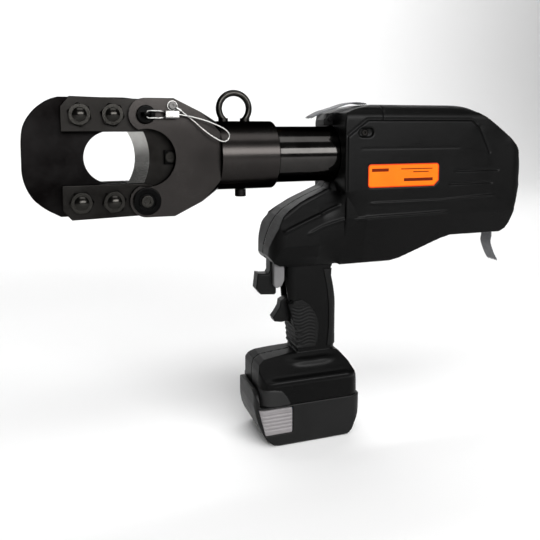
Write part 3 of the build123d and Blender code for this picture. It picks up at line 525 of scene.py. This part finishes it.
# ------------------------------------------------------------------ housing halves
VOX = 0.0009
HW = 0.044 + 0.0016


def seg_dist(x, z, poly):
    """Distance in X,Z from each point to a polyline, and how far along it the nearest point lies (0 to 1)."""
    best = np.full(x.shape, 1e9)
    along = np.zeros(x.shape)
    P = np.array(poly, float)
    L = np.linalg.norm(np.diff(P, axis=0), axis=1)
    T0 = np.concatenate([[0], np.cumsum(L)])
    for i in range(len(P) - 1):
        d = P[i + 1] - P[i]
        t = np.clip(((x - P[i, 0]) * d[0] + (z - P[i, 1]) * d[1]) / (d @ d), 0, 1)
        q = np.hypot(x - P[i, 0] - t * d[0], z - P[i, 1] - t * d[1])
        m = q < best
        best[m] = q[m]
        along[m] = (T0[i] + t[m] * L[i]) / T0[-1]
    return best, along


def in_poly(x, z, poly):
    c = np.zeros(x.shape, bool)
    n = len(poly)
    for i in range(n):
        x0, z0 = poly[i]
        x1, z1 = poly[(i + 1) % n]
        if z0 == z1:
            continue
        hit = ((z0 > z) != (z1 > z)) & (x < (x1 - x0) * (z - z0) / (z1 - z0) + x0)
        c ^= hit
    return c


# moulded lines on both sides: points in X,Z, width, height (minus = groove), least |Y|, fade at the ends
LINES = [
    ([(0.042, 0.3525), (0.0650, 0.3700), (0.2040, 0.3700), (0.2105, 0.3650)], 0.0014, -0.0011, 0.036, 0),
    ([(0.179, 0.3095), (0.247, 0.3095)], 0.0014, -0.0014, 0.036, 1),
    ([(0.172, 0.2940), (0.238, 0.2940)], 0.0014, -0.0014, 0.036, 1),
    ([(0.066, 0.2745), (0.160, 0.2745), (0.243, 0.2785)], 0.0015, 0.0014, 0.036, 1),
    ([(-0.006, 0.2400), (0.014, 0.2490), (0.039, 0.2560), (0.080, 0.2585), (0.122, 0.2590), (0.178, 0.2605)], 0.0016, 0.0014, 0.026, 1),
    ([(0.215, 0.3640), (0.222, 0.3490), (0.232, 0.3290)], 0.0014, -0.0009, 0.036, 1),
    ([(-0.033, 0.2440), (-0.012, 0.2530), (0.0122, 0.2628), (0.0330, 0.2716), (0.0372, 0.2745)], 0.0016, 0.0022, 0.022, 1),
    ([(-0.032, 0.2580), (-0.0057, 0.2745), (0.0180, 0.2850), (0.0320, 0.2910)], 0.0017, 0.0012, 0.012, 1),
    ([(0.086, 0.3700), (0.086, 0.3850)], 0.0010, -0.0009, 0.020, 0),
    ([(-0.0280, 0.0922), (-0.010, 0.0908), (0.009, 0.0904), (0.028, 0.0908), (0.0440, 0.0922)], 0.0034, 0.0023, 0.014, 0.35),
    ([(-0.0540, 0.0742), (0.0590, 0.0742)], 0.0032, 0.0028, 0.024, 0.12),
]
LATCH_POLY = [(-0.0640, 0.0668), (-0.0450, 0.0672), (-0.0345, 0.0650), (-0.0282, 0.0570), (-0.0235, 0.0470), (-0.0640, 0.0470)]


def mould(co, no):
    x, y, z = co[:, 0], co[:, 1], co[:, 2]
    ay = np.abs(y)
    outward = (no[:, 1] * np.sign(y)) > 0.15
    for pts, w, h, ymin, fade in LINES:
        d, t = seg_dist(x, z, pts)
        k = np.exp(-(d / w) ** 2)
        if fade:
            f_ = np.clip(np.minimum(t, 1 - t) / (0.06 if fade == 1 else fade), 0, 1)
            k = k * f_ * f_ * (3 - 2 * f_)
        m = (k > 0.02) & (ay > ymin) & outward
        co[m] += no[m] * (h * k[m])[:, None]
    # raised latch cover at the foot's front corners
    d, _ = seg_dist(x, z, LATCH_POLY[:5])
    ins = in_poly(x, z, LATCH_POLY)
    k = np.where(ins, np.clip(d / 0.0009, 0, 1), 0.0)
    m = ins & (ay > 0.020) & ((no[:, 1] * np.sign(y) > 0.2) | (no[:, 0] < -0.3))
    co[m] += no[m] * (0.0006 * k[m])[:, None]
    return co


def ramp(v, a, b, e):
    return np.clip(np.minimum(v - a, b - v) / e, 0, 1)


def side_out(co, no, lim):
    return (np.abs(co[:, 1]) > 0.018) & ((no[:, 1] * np.sign(co[:, 1])) > lim)


def junction(co, no):
    """Chin running into the body without a step."""
    return np.where((np.abs(co[:, 1]) > 0.018) & (np.abs(no[:, 2]) < 0.8) & (no[:, 1] * np.sign(co[:, 1]) > -0.2),
                    ramp(co[:, 0], 0.012, 0.066, 0.004) * ramp(co[:, 2], 0.196, 0.2880, 0.004), 0.0)


def rear_panel(co, no):
    return np.where(side_out(co, no, 0.5), ramp(co[:, 0], 0.186, 0.262, 0.006) * ramp(co[:, 2], 0.2660, 0.3620, 0.006), 0.0)


def low_panel(co, no):
    return np.where(side_out(co, no, 0.5), ramp(co[:, 0], 0.046, 0.200, 0.008) * ramp(co[:, 2], 0.2600, 0.2900, 0.004), 0.0)


def rear_corner(co, no):
    return np.where(np.abs(no[:, 1]) < 0.85, ramp(co[:, 0], 0.180, 0.300, 0.01) * ramp(co[:, 2], 0.290, 0.420, 0.01), 0.0)


for name, s in (("housing_left", -1), ("housing_right", 1)):
    me = remeshed(name, VOX, 2, 0.5, mould, None, [(junction, 2600, (0, 1, 2)), (rear_panel, 500, (1,)), (low_panel, 160, (1,)), (rear_corner, 60, (0, 1, 2))])
    o = new_obj(name + "_skin", me, "tool", "housing", name)
    me.materials.append(MT["latch_cover"])
    c = np.empty(len(me.polygons) * 3)
    me.polygons.foreach_get("center", c)
    c = c.reshape(-1, 3)
    n_ = np.empty(len(me.polygons) * 3)
    me.polygons.foreach_get("normal", n_)
    n_ = n_.reshape(-1, 3)
    ids = (in_poly(c[:, 0], c[:, 2], LATCH_POLY) & (np.abs(c[:, 1]) > 0.020) & ((n_[:, 1] * s > 0.2) | (n_[:, 0] < -0.3))).astype(np.int32)
    me.polygons.foreach_set("material_index", ids)

# battery
me = remeshed("battery_case_lower", 0.0009, 3, 0.5, None, ["battery_case_upper"])
o = new_obj("battery_case_skin", me, "battery", "battery", "battery_case_lower")
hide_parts("battery_case_upper")


def ribbed_button(s):
    def fn(co, no):
        face = (no[:, 1] * s) > 0.6
        z = co[:, 2]
        k = 0.5 + 0.5 * np.cos((z - 0.0300) / 0.0042 * 2 * np.pi)
        m = face & (z > 0.0195) & (z < 0.0405)
        co[m, 1] -= s * 0.0007 * (k[m] ** 2)
        return co
    return fn


for name, s in (("battery_button_left", -1), ("battery_button_right", 1)):
    me = remeshed(name, 0.0007, 2, 0.5, ribbed_button(s))
    new_obj(name + "_skin", me, name.replace("battery_", ""), "button", name)


# ------------------------------------------------------------------ grip rubber
def rubber_front(co, no):
    x, y, z = co[:, 0], co[:, 1], co[:, 2]
    ay = np.abs(y)
    outer = (ay > 0.0170) | ((x < 0.002) & (np.hypot(no[:, 0], no[:, 1]) > 0.7) & (no[:, 0] < 0.2))
    # deep finger scallops at the front, fading into fine ribs on the sides
    k = 0.5 + 0.5 * np.cos((z - 0.1085) / 0.0062 * 2 * np.pi)
    front = np.clip((0.001 - x) / 0.010, 0, 1) * np.clip((0.133 - z) / 0.003, 0, 1)
    h = 0.0011 * k * front
    rib = 0.5 + 0.5 * np.cos((z - 0.10 - 0.0015 * np.sin(x * 260)) / 0.0040 * 2 * np.pi)
    body = np.clip((0.0155 - x) / 0.004, 0, 1) * np.clip((z - 0.106) / 0.003, 0, 1) * np.clip((0.156 - z) / 0.004, 0, 1)
    h = np.maximum(h, 0.00045 * rib * body)
    co[outer] -= no[outer] * h[outer][:, None]
    return co


def rubber_rear(co, no):
    x, z = co[:, 0], co[:, 2]
    away = (np.abs(co[:, 1]) > 0.0172) | (x > 0.036)
    k = 0.5 + 0.5 * np.cos((z + 0.35 * x) / 0.0032 * 2 * np.pi)
    rim = np.clip((z - 0.112) / 0.006, 0, 1) * np.clip((0.180 - z) / 0.006, 0, 1) * np.clip((x - 0.034) / 0.003, 0, 1)
    co[away] -= no[away] * (0.0003 * k * rim)[away, None]
    return co


for name, fn in (("grip_rubber_front", rubber_front), ("grip_rubber_rear", rubber_rear)):
    me = remeshed(name, 0.0005, 1, 0.4, fn)
    new_obj(name + "_skin", me, "tool", "rubber", name)


# ------------------------------------------------------------------ label: film with a pale border, no lettering
def label_piece():
    lo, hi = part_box("label_plate")
    y = lo.y
    x0, x1, z0, z1 = lo.x, hi.x, lo.z, hi.z

    def outline(d, r):
        pts = []
        cut = 0.0065
        corners = [(x0 + d, z0 + d, r, 180), (x0 + d, z1 - d, r, 90), (x1 - d, z1 - d, r, 0)]
        for cx, cz, rr, a0 in corners:
            sx = 1 if cx < (x0 + x1) / 2 else -1
            sz = 1 if cz < (z0 + z1) / 2 else -1
            ox, oz = cx + sx * rr, cz + sz * rr
            start = {180: 270, 90: 180, 0: 90}[a0]
            for k in range(7):
                a = math.radians(start - k * 15)
                pts.append((ox + rr * math.cos(a), oz + rr * math.sin(a)))
        pts.append((x1 - d, z0 + cut + d * 0.4))
        pts.append((x1 - cut - d * 0.4, z0 + d))
        return pts
    a, b, c = outline(0.0, 0.0035), outline(0.0009, 0.0028), outline(0.0012, 0.0026)
    n = len(a)
    vs = [(p[0], hi.y, p[1]) for p in a] + [(p[0], y + 0.0002, p[1]) for p in a] + [(p[0], y + 0.00005, p[1]) for p in b] + \
         [(p[0], y + 0.0002, p[1]) for p in c]
    fs, idx = [], []
    for ring in range(3):
        for i in range(n):
            j = (i + 1) % n
            fs.append((ring * n + i, ring * n + j, (ring + 1) * n + j, (ring + 1) * n + i))
            idx.append(1)
    fs.append(tuple(range(3 * n, 4 * n)))
    idx.append(0)
    fs.append(tuple(range(n - 1, -1, -1)))
    idx.append(1)
    for bx0, bx1, bz0, bz1 in ((0.0705, 0.0920, 0.3106, 0.3142), (0.1080, 0.1500, 0.3126, 0.3137), (0.1240, 0.1450, 0.3090, 0.3101),
                               (0.1120, 0.1505, 0.2988, 0.3024)):
        k = len(vs)
        for yy in (y + 0.0004, y + 0.00012):
            vs += [(bx0, yy, bz0), (bx1, yy, bz0), (bx1, yy, bz1), (bx0, yy, bz1)]
        for f in ((0, 1, 2, 3), (4, 7, 6, 5), (0, 4, 5, 1), (1, 5, 6, 2), (2, 6, 7, 3), (3, 7, 4, 0)):
            fs.append(tuple(k + q for q in f))
            idx.append(2)
    me = mesh_of(vs, fs, "label")
    bm = bmesh.new()
    bm.from_mesh(me)
    bmesh.ops.recalc_face_normals(bm, faces=bm.faces)
    bm.to_mesh(me)
    bm.free()
    o = new_obj("label_film", me, "tool", None, "label_plate")
    me.materials.append(MT["label"])
    me.materials.append(MT["label_edge"])
    me.materials.append(MT["label_bar"])
    for p in me.polygons:
        p.use_smooth = False
        p.material_index = idx[p.index] if p.index < len(idx) else 0
    return o


label_piece()


# ------------------------------------------------------------------ webbing
def spline(pts, n):
    """Smooth line through the points."""
    P = np.array(pts, float)
    seg = np.linalg.norm(np.diff(P, axis=0), axis=1)
    t = np.concatenate([[0], np.cumsum(seg)])
    out = []
    for s in np.linspace(0, t[-1], n):
        i = min(len(P) - 2, max(0, np.searchsorted(t, s) - 1))
        p0 = P[max(0, i - 1)]
        p1, p2 = P[i], P[i + 1]
        p3 = P[min(len(P) - 1, i + 2)]
        u = (s - t[i]) / (t[i + 1] - t[i])
        out.append(0.5 * ((2 * p1) + (-p0 + p2) * u + (2 * p0 - 5 * p1 + 4 * p2 - p3) * u * u + (-p0 + 3 * p1 - 3 * p2 + p3) * u ** 3))
    return np.array(out)


def webbing(name, pts, width, thick, node, fray=(True, True)):
    """Woven strap along points in X,Z, width along Y; the points are its underside."""
    L0 = float(np.linalg.norm(np.diff(np.array(pts), axis=0), axis=1).sum())
    nu = int(L0 / 0.00055)
    nv = int(width / 0.0007)
    line = spline(pts, nu)
    tang = np.gradient(line, axis=0)
    tang /= np.linalg.norm(tang, axis=1)[:, None]
    nor = np.stack([-tang[:, 1], tang[:, 0]], 1)
    us = np.arange(nu)
    vs_, fs = [], []
    hw = width / 2
    for side in (0, 1):
        for i in range(nu):
            for j in range(nv + 1):
                v = j / nv * 2 - 1
                edge = max(0.0, (abs(v) - 0.86) / 0.14)
                weave = 0.00013 * math.sin((i * 0.55 + j * 0.7 * (1 if (j // 6) % 2 else -1)) * 1.6)
                rib = 0.00008 * math.cos(j * math.pi)
                t = thick * (0.94 - 0.35 * edge ** 2)
                lift = 0.0
                h = (t + weave + rib) if side else (thick * 0.06 + 0.35 * thick * edge ** 2 * 0.5 - 0.6 * (weave + rib) * 0.5)
                x = line[i, 0] + nor[i, 0] * (h + lift)
                z = line[i, 1] + nor[i, 1] * (h + lift)
                vs_.append((x, v * hw, z))
    m = nv + 1

    def idx(s, i, j):
        return s * nu * m + i * m + j
    for i in range(nu - 1):
        for j in range(nv):
            fs.append((idx(1, i, j), idx(1, i + 1, j), idx(1, i + 1, j + 1), idx(1, i, j + 1)))
            fs.append((idx(0, i, j), idx(0, i, j + 1), idx(0, i + 1, j + 1), idx(0, i + 1, j)))
    for i in range(nu - 1):
        fs.append((idx(0, i, 0), idx(0, i + 1, 0), idx(1, i + 1, 0), idx(1, i, 0)))
        fs.append((idx(0, i, nv), idx(1, i, nv), idx(1, i + 1, nv), idx(0, i + 1, nv)))
    for j in range(nv):
        fs.append((idx(0, 0, j), idx(1, 0, j), idx(1, 0, j + 1), idx(0, 0, j + 1)))
        fs.append((idx(0, nu - 1, j), idx(0, nu - 1, j + 1), idx(1, nu - 1, j + 1), idx(1, nu - 1, j)))
    me = mesh_of(vs_, fs, name)
    bm = bmesh.new()
    bm.from_mesh(me)
    bmesh.ops.recalc_face_normals(bm, faces=bm.faces)
    bm.to_mesh(me)
    bm.free()
    for p in me.polygons:
        p.use_smooth = True
    o = new_obj(name, me, "tool", "web", node)
    # loose threads at the cut ends
    ths = []
    ends = []
    if fray[0]:
        ends.append((line[0], -tang[0], nor[0]))
    if fray[1]:
        ends.append((line[-1], tang[-1], nor[-1]))
    tv, tf = [], []
    for base, d, nn in ends:
        for k in range(int(width / 0.0006)):
            v = (k + 0.5) / int(width / 0.0006) * 2 - 1
            ln = float(RNG.uniform(0.0008, 0.0030))
            dx = float(RNG.normal(0, 0.22))
            dz = float(RNG.normal(0, 0.16))
            r = 0.00022
            h0 = thick * float(RNG.uniform(0.3, 0.8))
            p = np.array([base[0] + nn[0] * h0 - d[0] * 0.001, v * (hw - 0.0008), base[1] + nn[1] * h0 - d[1] * 0.001])
            dirv = np.array([d[0] + nn[0] * dz, dx, d[1] + nn[1] * dz])
            dirv /= np.linalg.norm(dirv)
            sdv = np.cross(dirv, [0.3, 0.5, 0.8])
            sdv /= np.linalg.norm(sdv)
            upv = np.cross(dirv, sdv)
            b0 = len(tv)
            for q, rr in ((0.0, r), (0.6, r * 0.9), (1.0, r * 0.35)):
                c = p + dirv * (0.001 + ln) * q + np.array([0, 0, -0.0004]) * q * q
                for a in range(4):
                    an = a * math.pi / 2
                    tv.append(c + (sdv * math.cos(an) + upv * math.sin(an)) * rr)
            for ring in range(2):
                for a in range(4):
                    a2 = (a + 1) % 4
                    tf.append((b0 + ring * 4 + a, b0 + ring * 4 + a2, b0 + (ring + 1) * 4 + a2, b0 + (ring + 1) * 4 + a))
            tf.append((b0 + 3, b0 + 2, b0 + 1, b0))
            tf.append((b0 + 8, b0 + 9, b0 + 10, b0 + 11))
    if tv:
        me2 = mesh_of(tv, tf, name + "_threads")
        o2 = new_obj(name + "_threads", me2, "tool", "web")
    return o


webbing("strap_front_webbing", [(0.0130, 0.3718), (0.0185, 0.3747), (0.026, 0.3782), (0.034, 0.3804), (0.044, 0.3834), (0.056, 0.3872),
                                (0.068, 0.3886), (0.0795, 0.3876)], 0.022, 0.0018, "strap_front")
webbing("strap_rear_webbing", [(0.2622, 0.2325), (0.2642, 0.222), (0.263, 0.212), (0.2663, 0.202), (0.2708, 0.193), (0.2745, 0.1872)],
        0.020, 0.0018, "strap_rear", fray=(False, True))


# ------------------------------------------------------------------ lanyard: stranded wire on one NURBS line
LAN = [(-0.1470, -0.0382, 0.3744), (-0.1280, -0.0386, 0.3715), (-0.1030, -0.0402, 0.3620), (-0.0946, -0.0406, 0.3554), (-0.0952, -0.0407, 0.3488),
       (-0.1010, -0.0406, 0.3456), (-0.1108, -0.0396, 0.3506), (-0.1210, -0.0380, 0.3580), (-0.1330, -0.0346, 0.3695), (-0.1440, -0.0322, 0.3783)]
cu = bpy.data.curves.new("lanyard_path", "CURVE")
cu.dimensions = "3D"
sp = cu.splines.new("NURBS")
sp.points.add(len(LAN) - 1)
for i, p in enumerate(LAN):
    sp.points[i].co = (*p, 1.0)
sp.order_u = 3
sp.use_endpoint_u = True
cu.resolution_u = 24
pc = bpy.data.objects.new("lanyard_path", cu)
bpy.context.scene.collection.objects.link(pc)
bpy.context.view_layer.update()
pm = bpy.data.meshes.new_from_object(pc)
PATH = np.array([v.co for v in pm.vertices])
bpy.data.objects.remove(pc)
seg = np.linalg.norm(np.diff(PATH, axis=0), axis=1)
T = np.concatenate([[0], np.cumsum(seg)])
LLEN = float(T[-1])
nring = 330
ss = np.linspace(0, LLEN, nring)
C = np.stack([np.interp(ss, T, PATH[:, k]) for k in range(3)], 1)
for _ in range(2):
    C[1:-1] = 0.25 * C[:-2] + 0.5 * C[1:-1] + 0.25 * C[2:]
tg = np.gradient(C, axis=0)
tg /= np.linalg.norm(tg, axis=1)[:, None]
u = np.cross(tg[0], [0, 0, 1.0])
u /= np.linalg.norm(u)
vs, fs, ring_y = [], [], []
K = 24
for i in range(nring):
    u = u - tg[i] * np.dot(u, tg[i])
    u /= np.linalg.norm(u)
    w = np.cross(tg[i], u)
    for k in range(K):
        a = 2 * math.pi * k / K
        ph = a - ss[i] / 0.0062 * 2 * math.pi
        r = 0.0008 * (0.84 + 0.16 * abs(math.cos(3 * ph)))
        vs.append(C[i] + (u * math.cos(a) + w * math.sin(a)) * r)
        ring_y.append(C[i][1])
for i in range(nring - 1):
    for k in range(K):
        k2 = (k + 1) % K
        fs.append((i * K + k, i * K + k2, (i + 1) * K + k2, (i + 1) * K + k))
fs.append(tuple(range(K - 1, -1, -1)))
fs.append(tuple((nring - 1) * K + k for k in range(K)))
me = mesh_of(vs, fs, "lanyard_rope")
bm = bmesh.new()
bm.from_mesh(me)
bmesh.ops.recalc_face_normals(bm, faces=bm.faces)
bm.to_mesh(me)
bm.free()
for p in me.polygons:
    p.use_smooth = True
rope = bpy.data.objects.new("lanyard_rope", me)
bpy.context.scene.collection.objects.link(rope)
give(rope, MT["bright"])
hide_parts("lanyard_wire")
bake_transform(rope)
# a weight for each ring by its place along the wire, eased at both ends; nothing further here uses it
wv = np.repeat(np.clip(ss / LLEN, 0, 1), K)
wv = wv * wv * (3 - 2 * wv)

# ------------------------------------------------------------------ return spring: a coil between the gland and the piston
def spring_coil(x0, x1, pitch, radius, wire):
    turns = (x1 - x0) / pitch
    n, K = int(turns * (56)), 12
    vs, fs, w = [], [], []
    lead = pitch / (2 * math.pi)
    for i in range(n + 1):
        a = turns * 2 * math.pi * i / n
        c = Vector((x0 + lead * a, radius * math.cos(a), ZA + radius * math.sin(a)))
        t = Vector((lead, -radius * math.sin(a), radius * math.cos(a))).normalized()
        u = Vector((0, math.cos(a), math.sin(a)))
        v = t.cross(u)
        for k in range(K):
            b = 2 * math.pi * k / K
            vs.append(c + u * (wire * math.cos(b)) + v * (wire * math.sin(b)))
            w.append(i / n)
    for i in range(n):
        for k in range(K):
            j = (k + 1) % K
            fs.append((i * K + k, i * K + j, (i + 1) * K + j, (i + 1) * K + k))
    fs.append(tuple(range(K - 1, -1, -1)))
    fs.append(tuple(range(n * K, n * K + K)))
    sm = mesh_of([tuple(q) for q in vs], fs, "spring")
    b_ = bmesh.new()
    b_.from_mesh(sm)
    bmesh.ops.recalc_face_normals(b_, faces=b_.faces)
    b_.to_mesh(sm)
    b_.free()
    for q in sm.polygons:
        q.use_smooth = len(q.vertices) == 4
    coil = bpy.data.objects.new("return_spring_coil", sm)
    bpy.context.scene.collection.objects.link(coil)
    give(coil, MT["ground"])
    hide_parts("return_spring")
    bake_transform(coil)


spring_coil(-0.0768, 0.0026, 0.0126, 0.0195, 0.00195)

# ------------------------------------------------------------------ camera
cam_d = bpy.data.cameras.new("camera")
cam = bpy.data.objects.new("camera", cam_d)
bpy.context.scene.collection.objects.link(cam)
cam_d.sensor_width = 36.0
cam_d.lens = 614.0 / 540.0 * 36.0
cam_d.shift_y = -(270.0 - 182.0) / 540.0
cam_d.clip_start = 0.02
cam_d.clip_end = 50
yaw, pitch = math.radians(18.8), math.radians(5.4)
f = Vector((math.sin(yaw) * math.cos(pitch), math.cos(yaw) * math.cos(pitch), -math.sin(pitch)))
cam.location = (-0.26225, -0.66437, 0.36476)
cam.rotation_mode = "QUATERNION"
cam.rotation_quaternion = f.to_track_quat("-Z", "Y")
bpy.context.scene.camera = cam

# ------------------------------------------------------------------ stage and light
bm = bmesh.new()
prof = [(-6.0, 0.0), (2.2, 0.0)] + [(2.2 + 1.2 * math.sin(a), 1.2 - 1.2 * math.cos(a)) for a in np.linspace(0.1, math.pi / 2, 14)] + [(3.4, 6.0)]
rows = []
for x in (-8.0, 8.0):
    rows.append([bm.verts.new((x, y, z - 0.0002)) for y, z in prof])
for i in range(len(prof) - 1):
    bm.faces.new((rows[0][i], rows[1][i], rows[1][i + 1], rows[0][i + 1]))
fl = bpy.data.meshes.new("floor")
bm.to_mesh(fl)
bm.free()
for p in fl.polygons:
    p.use_smooth = True
floor = bpy.data.objects.new("floor", fl)
bpy.context.scene.collection.objects.link(floor)
fm = Mat("floor_pale")
fm.set(**{"Base Color": (0.86, 0.86, 0.86, 1), "Roughness": 0.9, "Specular IOR Level": 0.1})
give(floor, fm.m)


def area(name, loc, target, size, energy, size_y=None):
    l = bpy.data.lights.new(name, "AREA")
    l.energy = energy
    l.size = size
    if size_y:
        l.shape = "RECTANGLE"
        l.size_y = size_y
    o = bpy.data.objects.new(name, l)
    o.location = loc
    o.rotation_mode = "QUATERNION"
    o.rotation_quaternion = (Vector(target) - Vector(loc)).to_track_quat("-Z", "Y")
    bpy.context.scene.collection.objects.link(o)
    return o


area("key", (0.35, -2.1, 0.92), (0, 0, 0.32), 2.4, 80, 0.75)
area("top", (0.05, -0.75, 1.9), (0, 0, 0.25), 1.6, 13, 0.75)
area("back", (0.3, 1.7, 1.6), (0, 0, 0.2), 2.4, 5, 0.6)
area("sweep", (0.4, 1.2, 2.6), (0.4, 3.2, 0.9), 3.5, 82, 0.8)
world = bpy.data.worlds.new("world")
bpy.context.scene.world = world
world.use_nodes = True
world.node_tree.nodes["Background"].inputs[0].default_value = (1, 1, 1, 1)
world.node_tree.nodes["Background"].inputs[1].default_value = 0.13
bpy.context.scene.view_settings.view_transform = "Standard"
